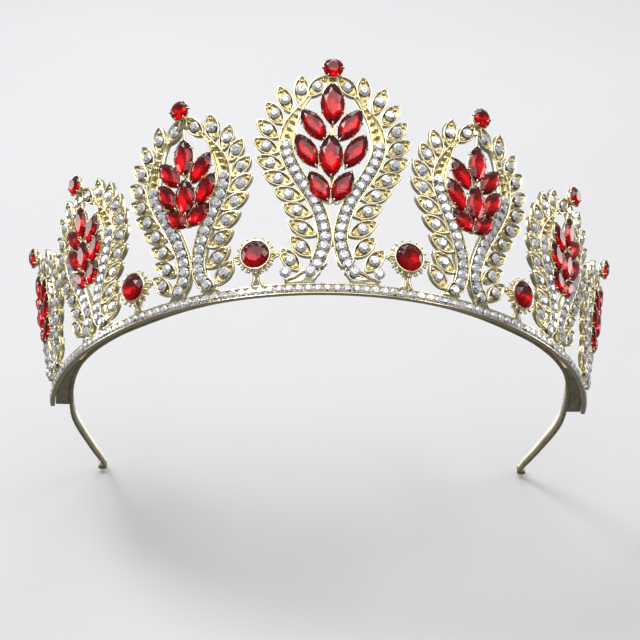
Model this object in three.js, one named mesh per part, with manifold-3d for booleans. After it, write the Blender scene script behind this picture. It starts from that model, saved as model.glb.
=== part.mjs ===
// Tiara: a stone-set rail on a springy headband carries seven jewelled crests
// and four sun-shaped settings between them. Millimetres, +Z up, front faces -Y.
import * as THREE from 'three';
import { mergeVertices } from 'three/addons/utils/BufferGeometryUtils.js';
import Module from 'manifold-3d';

const wasm = await Module();
wasm.setup();

// ---------------------------------------------------------------- dimensions
const BAND_RADIUS = 75;          // radius of the rail circle
const FLARE = THREE.MathUtils.degToRad(10.3); // crests lean outward by this
const CENTRE_Y = 26.45;          // band circle centre, behind the origin
const FLARE_BASE_Z = 0.7;        // height at which the flared surface starts

const RAIL_HEIGHT = 2.9;
const RAIL_INNER = 75.3;
const RAIL_OUTER = 76.5;
const RAIL_END_DEG = 83.5;
const RAIL_WALL = 0.4;
const RAIL_RECESS = 0.7;

const STRIP_THICKNESS = 0.9;     // headband strip
const STRIP_HEIGHT_FRONT = 2.8;
const STRIP_HEIGHT_LEG = 4.0;
const STRIP_HEIGHT_TIP = 2.7;
const STRIP_LIFT = 0.7;           // lower edge of the strip above the rail's foot, in front
const LOOP_RADIUS = 1.35;        // rolled ends, for hair pins
const LOOP_BORE = 0.6;

const ARM_HALF = 1.8;            // half width of a set arm
const ARM_WALL = 0.45;
const ARM_HEIGHT = 1.1;          // bar under the arm's stones
const LEAF_WIDTH = 3.7;
const LEAF_LOW = 0.3;
const LEAF_HIGH = 1.7;
const FOOT_V = 2.6;              // crests start just above the rail

const SPRAY_BACK = 1.75;         // sheet behind the navettes
const SPRAY_FRONT = 2.45;
const NAVETTE_BACK = 2.65;
const NAVETTE_FRONT = 4.15;

const FINIAL_CUP_RADIUS = 3.1;
const FINIAL_STONE_RADIUS = 2.5;
const SUN_RADIUS = 4.75;
const SUN_CUP_RADIUS = 4.0;
const SUN_STONE_RADIUS = 3.5;

// ------------------------------------------------------------------ materials
const gold = () => new THREE.MeshStandardMaterial({ color: 0xd9c98a, roughness: 0.28, metalness: 1 });
const strap = () => new THREE.MeshStandardMaterial({ color: 0x9d9060, roughness: 0.4, metalness: 1 });
const ruby = () => new THREE.MeshStandardMaterial({ color: 0x9c0a1c, roughness: 0.08, metalness: 0 });
const crystal = () => new THREE.MeshStandardMaterial({ color: 0xe9e8f2, roughness: 0.06, metalness: 0 });

// ------------------------------------------------------------------- mapping
// (u, v, w): along the flared surface sideways, up it, and out of it, for a
// crest whose middle stands at azimuth az (radians, 0 at the front).
const APEX = BAND_RADIUS / Math.sin(FLARE);
function onFlare(az, u, v, w) {
  const s = Math.hypot(u, APEX + v);
  const phi = az + Math.atan2(u, APEX + v) / Math.sin(FLARE);
  const h = s - APEX;
  const r = BAND_RADIUS + h * Math.sin(FLARE) + w * Math.cos(FLARE);
  const z = FLARE_BASE_Z + h * Math.cos(FLARE) - w * Math.sin(FLARE);
  return new THREE.Vector3(r * Math.sin(phi), CENTRE_Y - r * Math.cos(phi), z);
}
const onBand = (phi, r, z) => new THREE.Vector3(r * Math.sin(phi), CENTRE_Y - r * Math.cos(phi), z);

// Bend a geometry by moving every vertex, then turn its faces outward.
function bend(geometry, place) {
  const g = geometry.clone();
  g.deleteAttribute('normal');
  g.deleteAttribute('uv');
  const m = mergeVertices(g, 1e-4);
  const p = m.attributes.position;
  for (let i = 0; i < p.count; i++) {
    const q = place(p.getX(i), p.getY(i), p.getZ(i));
    p.setXYZ(i, q.x, q.y, q.z);
  }
  return faceOut(m);
}
function faceOut(g) {
  const p = g.attributes.position, ix = g.index.array;
  const a = new THREE.Vector3(), b = new THREE.Vector3(), c = new THREE.Vector3();
  let volume = 0;
  for (let i = 0; i < ix.length; i += 3) {
    a.fromBufferAttribute(p, ix[i]); b.fromBufferAttribute(p, ix[i + 1]); c.fromBufferAttribute(p, ix[i + 2]);
    volume += a.dot(b.cross(c));
  }
  if (volume < 0) for (let i = 0; i < ix.length; i += 3) [ix[i + 1], ix[i + 2]] = [ix[i + 2], ix[i + 1]];
  return g;
}
function solid(g) {
  return new wasm.Manifold(new wasm.Mesh({
    numProp: 3,
    vertProperties: new Float32Array(g.attributes.position.array),
    triVerts: new Uint32Array(g.index.array),
  }));
}
function toGeometry(m) {
  const mesh = m.getMesh();
  const g = new THREE.BufferGeometry();
  g.setAttribute('position', new THREE.BufferAttribute(new Float32Array(mesh.vertProperties), 3));
  g.setIndex(new THREE.BufferAttribute(new Uint32Array(mesh.triVerts), 1));
  return g;
}
const join = (list) => list.map(solid).reduce((a, b) => a.add(b));

const outline = (points) => new THREE.Shape(points.map(([x, y]) => new THREE.Vector2(x, y)));
const prism = (points, depth, steps = 1) =>
  new THREE.ExtrudeGeometry(outline(points), { depth, steps, bevelEnabled: false, curveSegments: 1 });

// A flat plate with the given (u, v) outline, between two heights.
const plate = (az, points, low, high) =>
  bend(prism(points, high - low), (x, y, z) => onFlare(az, x, y, low + z));

// A marquise outline of eight points, long axis along x.
const marquise = (length, width) => [
  [-length / 2, 0], [-length * 0.27, -width * 0.37], [0, -width / 2], [length * 0.27, -width * 0.37],
  [length / 2, 0], [length * 0.27, width * 0.37], [0, width / 2], [-length * 0.27, width * 0.37]];
const hexagonLeaf = (length, width) => [
  [-length / 2, 0], [-length * 0.16, -width / 2], [length * 0.16, -width / 2],
  [length / 2, 0], [length * 0.16, width / 2], [-length * 0.16, width / 2]];

// Put a local outline (x along the tilt, 0 degrees straight up) on a crest.
function turned(az, cu, cv, degrees) {
  const t = THREE.MathUtils.degToRad(degrees);
  const du = Math.sin(t), dv = Math.cos(t);
  return (x, y, w) => onFlare(az, cu + x * du + y * dv, cv + x * dv - y * du, w);
}

// ---------------------------------------------------------------- crest plans
// arm: centreline of the right-hand arm, top to foot, as (u, v).
// leaves: centre u, centre v, tilt in degrees from straight up, for the right
// side, top to foot; the left side mirrors it.
// stones: u, v, tilt, length, width of each navette; mirrored when u is not 0.
const PLANS = {
  center: {
    arm: [[5.6, 52.6], [7.0, 50.6], [8.6, 48.0], [10.2, 45.2], [11.2, 42.2], [11.55, 39.0], [11.0, 35.9],
      [9.8, 33.0], [8.3, 30.1], [6.6, 27.3], [5.0, 24.7], [3.75, 22.0], [2.85, 19.4], [2.35, 16.8],
      [2.15, 14.2], [2.3, 11.6], [2.9, 9.0], [4.0, 6.6], [5.6, 4.9]],
    leaves: [[3.7, 55.2, -40], [8.2, 54.5, -9], [12.2, 51.8, 20.6], [14.5, 47.9, 36], [16.2, 43.6, 46.5],
      [16.7, 39.0, 56], [15.9, 34.2, 61.6], [13.9, 29.8, 63.4], [11.2, 25.4, 66], [8.9, 21.2, 66],
      [7.7, 16.5, 59], [7.6, 11.6, 45.5], [10.1, 8.2, 38.8]],
    leafLength: 8.1, setFrom: 0.24, footOut: 11.8, top: 59.3,
    stones: [['top', 0, 49.7, 0, 12.2, 6.2], ['middle', 0, 35.3, 0, 12.2, 6.2],
      ['upper', 4.55, 44.0, 33, 10.7, 5.2], ['side', 6.15, 36.9, 29, 10.7, 5.2], ['lower', 3.1, 27.3, 30, 9.5, 5.0]],
    // the middle spray stands a little askew: sideways shift of the right and left stones
    askew: { top: [-0.1], middle: [-0.5], upper: [-0.3, -0.2], side: [-0.6, -0.25], lower: [-0.75, -0.3] },
    stemFoot: 22.8,
  },
  mid: {
    arm: [[5.0, 45.6], [6.6, 43.2], [8.2, 40.0], [9.4, 37.0], [10.0, 34.0], [9.85, 31.2], [9.0, 28.6],
      [7.8, 26.0], [6.5, 23.4], [5.1, 20.8], [3.85, 18.0], [2.9, 15.2], [2.35, 12.6], [2.2, 10.0],
      [2.3, 7.6], [2.8, 5.6], [3.6, 4.7]],
    leaves: [[2.7, 48.0, -40], [7.7, 46.8, -7], [11.0, 43.0, 25], [13.1, 38.9, 38], [14.3, 34.3, 50],
      [14.1, 29.7, 58], [12.5, 25.0, 63], [10.1, 20.4, 66], [7.9, 15.8, 66], [7.2, 10.9, 55], [8.4, 6.7, 42]],
    leafLength: 8.0, setFrom: 0.26, footOut: 9.0, top: 52.3,
    stones: [['top', 0, 39.4, 0, 10.6, 5.6], ['middle', 0, 28.4, 0, 10.4, 5.6],
      ['upper', 4.3, 35.6, 36, 9.7, 4.8], ['side', 5.2, 29.6, 33, 9.7, 4.8], ['lower', 3.1, 23.2, 49, 8.1, 4.6]],
    stemFoot: 18.7,
  },
  outer: {
    arm: [[4.9, 38.6], [6.4, 36.2], [7.9, 33.4], [9.0, 30.8], [9.5, 28.4], [9.3, 26.0], [8.6, 23.6],
      [7.6, 21.2], [6.3, 18.8], [4.95, 16.4], [3.75, 14.0], [2.85, 11.7], [2.35, 9.4], [2.25, 7.2],
      [2.6, 5.6], [3.4, 4.7]],
    leaves: [[2.6, 41.2, -40], [7.6, 40.5, -6], [10.5, 37.5, 25], [12.4, 33.5, 40], [13.3, 29.2, 52],
      [13.0, 24.8, 60], [11.8, 20.2, 65], [9.6, 15.7, 66], [7.6, 10.9, 57], [7.9, 6.6, 43]],
    leafLength: 7.7, setFrom: 0.26, footOut: 8.6, top: 45.0,
    stones: [['top', 0, 33.9, 0, 9.6, 5.2], ['middle', 0, 24.0, 0, 9.4, 5.2],
      ['upper', 4.0, 30.6, 36, 8.8, 4.5], ['side', 4.75, 25.0, 33, 8.8, 4.5], ['lower', 2.7, 18.6, 40, 7.3, 4.2]],
    stemFoot: 15.4,
  },
  end: {
    arm: [[4.3, 33.4], [5.6, 31.3], [6.9, 28.8], [7.8, 26.3], [8.2, 23.9], [8.0, 21.6], [7.3, 19.3],
      [6.3, 17.0], [5.1, 14.8], [4.0, 12.6], [3.1, 10.4], [2.45, 8.3], [2.3, 6.6], [2.6, 5.4], [3.3, 4.7]],
    leaves: [[2.4, 35.8, -39], [6.8, 35.1, -4], [9.3, 32.2, 28], [10.9, 28.3, 43], [11.4, 24.1, 55],
      [10.6, 19.8, 62], [9.0, 15.4, 66], [7.3, 11.0, 60], [7.4, 6.9, 45]],
    leafLength: 7.0, setFrom: 0.27, footOut: 7.8, top: 39.4,
    stones: [['top', 0, 29.5, 0, 8.6, 4.7], ['middle', 0, 20.8, 0, 8.4, 4.7],
      ['upper', 3.55, 26.5, 36, 7.8, 4.0], ['side', 4.1, 21.6, 32, 7.8, 4.0], ['lower', 2.4, 16.0, 40, 6.5, 3.8]],
    stemFoot: 13.1,
  },
};
const CRESTS = [
  ['center', 'center', 0], ['mid_left', 'mid', -26.35], ['mid_right', 'mid', 26.3],
  ['outer_left', 'outer', -51.47], ['outer_right', 'outer', 51.47],
  ['end_left', 'end', -73.31], ['end_right', 'end', 73.31]];
const SUNS = [['inner_left', -13.82, 9.9], ['inner_right', 13.82, 9.9], ['outer_left', -38.86, 8.7], ['outer_right', 38.86, 8.7]];

const root = new THREE.Group();
root.name = 'tiara';
function addPart(name, geometry, material, parent = root) {
  const mesh = new THREE.Mesh(geometry, material);
  mesh.name = name;
  parent.add(mesh);
  return mesh;
}

// ------------------------------------------------------------------- headband
// Inner face of the strip in plan: azimuth in degrees and radius. It hugs the
// rail in front, leaves it towards the sides and runs straight back as legs.
const STRIP_PLAN = [[0, 74.0], [14, 74.0], [28, 74.0], [42, 74.0], [52, 73.9], [60, 73.4], [66, 72.5], [72, 71.45], [78.5, 70.6],
  [85.4, 70.2], [91, 70.0], [96.8, 69.7], [103.6, 69.8], [110.5, 70.8], [116, 72.2], [119.6, 73.7]];
{
  const half = STRIP_PLAN.map(([a, r]) => [THREE.MathUtils.degToRad(a), r]);
  const plan = [...half.slice(1).reverse().map(([a, r]) => [-a, r]), ...half];
  const path = new THREE.SplineCurve(plan.map(([a, r]) => new THREE.Vector2(r * Math.sin(a), -r * Math.cos(a))));
  const steps = 44;
  const height = (t) => {
    const s = Math.abs(t - 0.5) * 2;                 // 0 front, 1 tip
    const grow = THREE.MathUtils.smoothstep(s, 0.42, 0.66);
    const fade = THREE.MathUtils.smoothstep(s, 0.66, 1.0);
    return STRIP_HEIGHT_FRONT + (STRIP_HEIGHT_LEG - STRIP_HEIGHT_FRONT) * grow - (STRIP_HEIGHT_LEG - STRIP_HEIGHT_TIP) * fade;
  };
  const foot = (t) => STRIP_LIFT * (1 - THREE.MathUtils.smoothstep(Math.abs(t - 0.5) * 2, 0.22, 0.42));
  const at = (t, out, z) => {
    const c = path.getPoint(t), d = path.getTangent(t);
    return new THREE.Vector3(c.x + d.y * out, CENTRE_Y + c.y - d.x * out, z);
  };
  const strip = bend(prism([[0, 0], [1, 0], [1, 1], [0, 1]], 1, steps), (x, y, z) => at(z, x * STRIP_THICKNESS, foot(z) + y * (height(z) - foot(z))));
  const pieces = [strip];
  // rolled ends: a short upright tube on the outer side of each tip
  for (const side of [-1, 1]) {
    const t = side < 0 ? 0 : 1;
    const c = at(t, LOOP_RADIUS, 0);
    const ring = new THREE.LatheGeometry([[LOOP_BORE, 0], [LOOP_RADIUS, 0], [LOOP_RADIUS, STRIP_HEIGHT_TIP + 0.15], [LOOP_BORE, STRIP_HEIGHT_TIP + 0.15], [LOOP_BORE, 0]]
      .map(([x, y]) => new THREE.Vector2(x, y)), 12);
    pieces.push(bend(ring, (x, y, z) => new THREE.Vector3(c.x + x, c.y + z, y)));
  }
  // gusset plates that tie each leg to the end of the rail from inside
  for (const side of [-1, 1]) {
    const edge = [];
    for (const [a, r] of [[62, 73.4], [66, 72.9], [72, 71.9], [78, 71.1], [83, 70.8]]) edge.push([a, r]);
    const outer = [[83, 75.0], [78, 75.0], [72, 75.0], [66, 75.0], [62, 75.0]];
    const points = [...edge, ...outer].map(([a, r]) => {
      const q = THREE.MathUtils.degToRad(a) * side;
      return [r * Math.sin(q), -r * Math.cos(q)];
    });
    pieces.push(bend(prism(points, 0.8), (x, y, z) => new THREE.Vector3(x, CENTRE_Y + y, 0.35 + z)));
  }
  addPart('headband', toGeometry(join(pieces)), strap());
}

// ----------------------------------------------------------------------- rail
const railEnd = THREE.MathUtils.degToRad(RAIL_END_DEG);
addPart('stone_rail', bend(
  prism([[RAIL_INNER, 0], [RAIL_OUTER, 0], [RAIL_OUTER, RAIL_WALL], [RAIL_OUTER - RAIL_RECESS, RAIL_WALL],
    [RAIL_OUTER - RAIL_RECESS, RAIL_HEIGHT - RAIL_WALL], [RAIL_OUTER, RAIL_HEIGHT - RAIL_WALL],
    [RAIL_OUTER, RAIL_HEIGHT], [RAIL_INNER, RAIL_HEIGHT]], 1, 34),
  (x, y, z) => onBand(-railEnd + 2 * railEnd * z, x, y)), gold());
const rowEnd = THREE.MathUtils.degToRad(RAIL_END_DEG - 0.4);
addPart('rail_stone_row', bend(
  prism([[RAIL_OUTER - RAIL_RECESS + 0.3, RAIL_WALL + 0.3], [RAIL_OUTER + 0.35, RAIL_WALL + 0.6],
    [RAIL_OUTER + 0.35, RAIL_HEIGHT - RAIL_WALL - 0.6], [RAIL_OUTER - RAIL_RECESS + 0.3, RAIL_HEIGHT - RAIL_WALL - 0.3]], 1, 34),
  (x, y, z) => onBand(-rowEnd + 2 * rowEnd * z, x, y)), crystal());

// --------------------------------------------------------------------- crests
function armCurve(plan, side) {
  return new THREE.SplineCurve(plan.arm.map(([u, v]) => new THREE.Vector2(u * side, v)));
}
// The arm is narrow at its tip and reaches full width where its stones begin.
const armHalf = (plan, t) => ARM_HALF * (0.34 + 0.66 * THREE.MathUtils.smoothstep(t, 0.0, plan.setFrom));
function along(curve, t) {
  const c = curve.getPoint(t), d = curve.getTangent(t);
  return { c, n: new THREE.Vector2(d.y, -d.x) };
}
function nearest(curve, x, y) {
  let best = { d: 1e9, t: 0 };
  for (let i = 0; i <= 160; i++) {
    const q = curve.getPoint(i / 160), d = Math.hypot(q.x - x, q.y - y);
    if (d < best.d) best = { d, t: i / 160, q };
  }
  return best;
}

for (const [name, kind, degrees] of CRESTS) {
  const plan = PLANS[kind];
  const az = THREE.MathUtils.degToRad(degrees);
  const group = new THREE.Group();
  group.name = `crest_${name}`;
  root.add(group);

  // frame: two arms, their leaf cells, the waist joint and the feet
  const frame = [];
  const rows = [];
  for (const side of [-1, 1]) {
    const curve = armCurve(plan, side);
    const steps = kind === 'center' ? 12 : 9;
    const place = (t, x, w) => {
      const { c, n } = along(curve, t);
      const half = armHalf(plan, t);
      return onFlare(az, c.x + n.x * x * half, c.y + n.y * x * half, w);
    };
    frame.push(bend(prism([[-1, 0], [1, 0], [1, ARM_HEIGHT], [-1, ARM_HEIGHT]], 1, steps), (x, y, z) => place(z, x, y)));
    // stone row: from the widening of the arm down to the foot
    const first = plan.setFrom + 0.02, last = 0.985;
    const row = (t, x, w) => {
      const s = first + (last - first) * t;
      const { c, n } = along(curve, s);
      const half = Math.min(armHalf(plan, s) - ARM_WALL - 0.3, 1.05);
      return onFlare(az, c.x + n.x * x * half, c.y + n.y * x * half, w);
    };
    rows.push(bend(prism([[-1, ARM_HEIGHT + 0.3], [1, ARM_HEIGHT + 0.3], [0.6, 2.5], [-0.6, 2.5]], 1, steps - 2), (x, y, z) => row(z, x, y)));

    // leaf cells stand with their inner tip in the outer wall of the arm
    for (const [lu, lv, tilt] of plan.leaves) {
      const a = THREE.MathUtils.degToRad(tilt);
      const du = Math.sin(a), dv = Math.cos(a);
      const tip = [(lu + du * plan.leafLength / 2) * side, lv + dv * plan.leafLength / 2];
      const base0 = [(lu - du * plan.leafLength / 2) * side, lv - dv * plan.leafLength / 2];
      const near = nearest(curve, base0[0], base0[1]);
      const reach = Math.max(armHalf(plan, near.t) - 0.6, 0.1);
      const k = reach / Math.max(near.d, 1e-6);
      const base = [near.q.x + (base0[0] - near.q.x) * k, near.q.y + (base0[1] - near.q.y) * k];
      const length = Math.hypot(tip[0] - base[0], tip[1] - base[1]);
      const angle = THREE.MathUtils.radToDeg(Math.atan2(tip[0] - base[0], tip[1] - base[1]));
      const to = turned(az, (tip[0] + base[0]) / 2, (tip[1] + base[1]) / 2, angle);
      frame.push(bend(prism(hexagonLeaf(length, LEAF_WIDTH * plan.leafLength / 8.1), LEAF_HIGH - LEAF_LOW), (x, y, z) => to(x, y, LEAF_LOW + z)));
    }
    // foot: a flat polished plate sweeping from the arm out to the rail
    const end = plan.arm[plan.arm.length - 1];
    frame.push(plate(az, [[(end[0] - 1.4) * side, FOOT_V], [plan.footOut * side, FOOT_V], [(plan.footOut - 0.4) * side, FOOT_V + 0.6],
      [(end[0] + 2.2) * side, end[1] + 0.5], [(end[0] + 0.6) * side, end[1] + 0.9], [(end[0] - 0.9) * side, end[1] - 0.4]], 0.15, 0.6));
  }
  // waist: the arms meet here
  const waist = plan.arm.reduce((a, b) => (b[0] < a[0] ? b : a))[1];
  frame.push(plate(az, [[-1.1, waist - 1.6], [1.1, waist - 1.6], [1.1, waist + 1.6], [-1.1, waist + 1.6]], 0.1, 0.62));
  const body = join(frame);
  addPart(`crest_frame_${name}`, toGeometry(body), gold(), group);
  rows.push(plate(az, [[-1.8, waist - 0.35], [1.8, waist - 0.35], [1.8, waist + 0.35], [-1.8, waist + 0.35]], 1.45, 1.95));
  addPart(`arm_stone_rows_${name}`, toGeometry(join(rows)), crystal(), group);

  // spray of navettes: one lobed plate behind them, and the stones in front
  const stones = [];
  const cut = kind === 'center' ? marquise : hexagonLeaf;
  const askew = (label, side) => (plan.askew ? plan.askew[label][side < 0 ? 1 : 0] : 0);
  for (const [label, u, v, tilt, length, width] of plan.stones) {
    for (const side of u === 0 ? [1] : [-1, 1]) {
      const to = turned(az, u * side + askew(label, side), v, tilt * side);
      const stone = bend(prism(cut(length, width), 1), (x, y, z) => {
        const s = z > 0.5 ? 0.52 : 1;
        return to(x * s, y * s, z > 0.5 ? NAVETTE_FRONT : NAVETTE_BACK);
      });
      const word = u === 0 ? label : `${label}_${side < 0 ? 'left' : 'right'}`;
      stones.push([word, stone]);
    }
  }
  const low = plan.stemFoot, high = plan.top - FINIAL_CUP_RADIUS - 0.35;
  const [top, , upper, side, lower] = plan.stones;
  const lobe = ([label, u, v, tilt, length, width], hand) => {
    const a = THREE.MathUtils.degToRad(tilt), l = length / 2 - 0.35, w = width / 2 - 0.4;
    const c = u + askew(label, u === 0 ? 1 : hand) * hand;
    return {
      base: [c - l * Math.sin(a), v - l * Math.cos(a)],
      // the lowest pair lies over the arms: its sheet stops at their stones
      flank: [Math.min(c + w * Math.cos(a), label === 'lower' ? 4.3 : 99), v - w * Math.sin(a)],
      tip: [c + l * Math.sin(a), v + l * Math.cos(a)],
    };
  };
  const edge = (hand) => {
    const half = [[0.8, low], [0.8, lobe(lower, hand).base[1] + 0.2]];
    const order = [lower, side, upper, top];
    order.forEach((stone, i) => {
      const { flank, tip } = lobe(stone, hand);
      half.push(flank);
      if (i < 3) {
        const { base } = lobe(order[i + 1], hand);
        half.push(tip, [base[0] * 0.7 + tip[0] * 0.3, base[1] * 0.7 + tip[1] * 0.3]);
      }
    });
    half.push([0.8, lobe(top, hand).tip[1] - 1.2], [0.8, high]);
    return half;
  };
  const shape = [...edge(1), ...edge(-1).reverse().map(([u, v]) => [-u, v])];
  addPart(`spray_setting_${name}`, plate(az, shape, SPRAY_BACK, SPRAY_FRONT), gold(), group);
  if (kind === 'center') {
    for (const [word, g] of stones) addPart(`navette_${word}_center`, g, ruby(), group);
  } else {
    // the stones of the smaller sprays are backed by one thin web
    const [bottom, middle, crown] = [plan.stones[4][2] - 1.6, side[2] - 2.0, upper[2] - 1.6];
    const web = [plate(az, [[-0.5, bottom - 0.3], [0.5, bottom - 0.3], [0.5, plan.stones[0][2]], [-0.5, plan.stones[0][2]]], NAVETTE_BACK + 0.05, NAVETTE_BACK + 0.55)];
    for (const [v, reach] of [[bottom, 2.3], [middle, 4.0], [crown, 3.6]]) {
      web.push(plate(az, [[-reach, v - 0.4], [reach, v - 0.4], [reach, v + 0.4], [-reach, v + 0.4]], NAVETTE_BACK + 0.1, NAVETTE_BACK + 0.5));
    }
    addPart(`navette_spray_${name}`, toGeometry(join([...stones.map((s) => s[1]), ...web])), ruby(), group);
  }

  // finial: a round cup with its stone at the very top
  const cupProfile = [[0, 2.05], [2.2, 2.05], [FINIAL_CUP_RADIUS, 3.0], [FINIAL_CUP_RADIUS, 4.0], [FINIAL_CUP_RADIUS - 0.28, 4.0], [FINIAL_CUP_RADIUS - 0.28, 2.8], [0, 2.8]];
  const stoneProfile = [[0, 3.1], [FINIAL_STONE_RADIUS, 3.1], [FINIAL_STONE_RADIUS, 4.0], [FINIAL_STONE_RADIUS * 0.58, 5.1], [0, 5.1]];
  const seat = turned(az, 0, plan.top + (kind === 'center' ? 0 : 0), 0);
  const round = (profile, segments) => bend(new THREE.LatheGeometry(profile.map(([x, y]) => new THREE.Vector2(x, y)), segments), (x, y, z) => seat(z, x, y));
  addPart(`finial_cup_${name}`, round(cupProfile, 10), gold(), group);
  addPart(`finial_stone_${name}`, round(stoneProfile, 10), ruby(), group);
}

// ----------------------------------------------------------------------- suns
for (const [name, degrees, v] of SUNS) {
  const az = THREE.MathUtils.degToRad(degrees);
  const group = new THREE.Group();
  group.name = `sun_${name}`;
  root.add(group);
  const star = [];
  for (let i = 0; i < 24; i++) {
    const a = (i + 0.5) * Math.PI / 12, r = i % 2 ? SUN_CUP_RADIUS - 0.15 : SUN_RADIUS;
    star.push([r * Math.sin(a), v + r * Math.cos(a)]);
  }
  const rays = plate(az, star, 0.9, 1.6);
  const seat = turned(az, 0, v, 0);
  const round = (profile, segments) => bend(new THREE.LatheGeometry(profile.map(([x, y]) => new THREE.Vector2(x, y)), segments), (x, y, z) => seat(z, x, y));
  const cup = round([[0, 1.0], [SUN_CUP_RADIUS, 1.0], [SUN_CUP_RADIUS, 3.0], [SUN_CUP_RADIUS - 0.22, 3.0], [SUN_CUP_RADIUS - 0.22, 1.8], [0, 1.8]], 12);
  const post = plate(az, [[-1.4, FOOT_V], [1.4, FOOT_V], [0.8, FOOT_V + 1.4], [0.8, v - 2.4], [-0.8, v - 2.4], [-0.8, FOOT_V + 1.4]], 0.4, 1.25);
  addPart(`sun_bezel_${name}`, toGeometry(join([rays, cup, post])), gold(), group);
  addPart(`sun_stone_${name}`, round([[0, 2.1], [SUN_STONE_RADIUS, 2.1], [SUN_STONE_RADIUS, 3.0], [SUN_STONE_RADIUS * 0.6, 4.3], [0, 4.3]], 12), ruby(), group);
}

export default root;
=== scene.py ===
import math
import random

import bpy
import bmesh
import numpy as np
from mathutils import Matrix, Vector


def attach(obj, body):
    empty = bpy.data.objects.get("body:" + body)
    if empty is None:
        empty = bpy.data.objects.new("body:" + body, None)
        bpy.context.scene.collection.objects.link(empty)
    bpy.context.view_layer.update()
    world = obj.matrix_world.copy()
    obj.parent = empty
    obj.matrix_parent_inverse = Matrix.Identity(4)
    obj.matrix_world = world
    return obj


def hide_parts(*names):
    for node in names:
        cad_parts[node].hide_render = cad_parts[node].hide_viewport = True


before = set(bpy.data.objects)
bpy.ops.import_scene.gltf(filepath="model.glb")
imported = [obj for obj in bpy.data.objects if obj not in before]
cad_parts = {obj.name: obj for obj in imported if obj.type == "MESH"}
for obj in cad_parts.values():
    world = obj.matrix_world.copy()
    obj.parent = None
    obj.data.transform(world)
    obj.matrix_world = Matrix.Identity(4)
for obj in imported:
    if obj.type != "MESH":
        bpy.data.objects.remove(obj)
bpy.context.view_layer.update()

rng = random.Random(71)
MM = 0.001

# --------------------------------------------------------------- dimensions (mm)
BAND_R = 75.0
FLARE = math.radians(10.3)
CENTRE_Y = 26.45
FLARE_Z = 0.7
APEX = BAND_R / math.sin(FLARE)
RAIL_H, RAIL_IN, RAIL_OUT, RAIL_END = 2.9, 75.3, 76.5, 83.5
FOOT_V = 2.6

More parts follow.
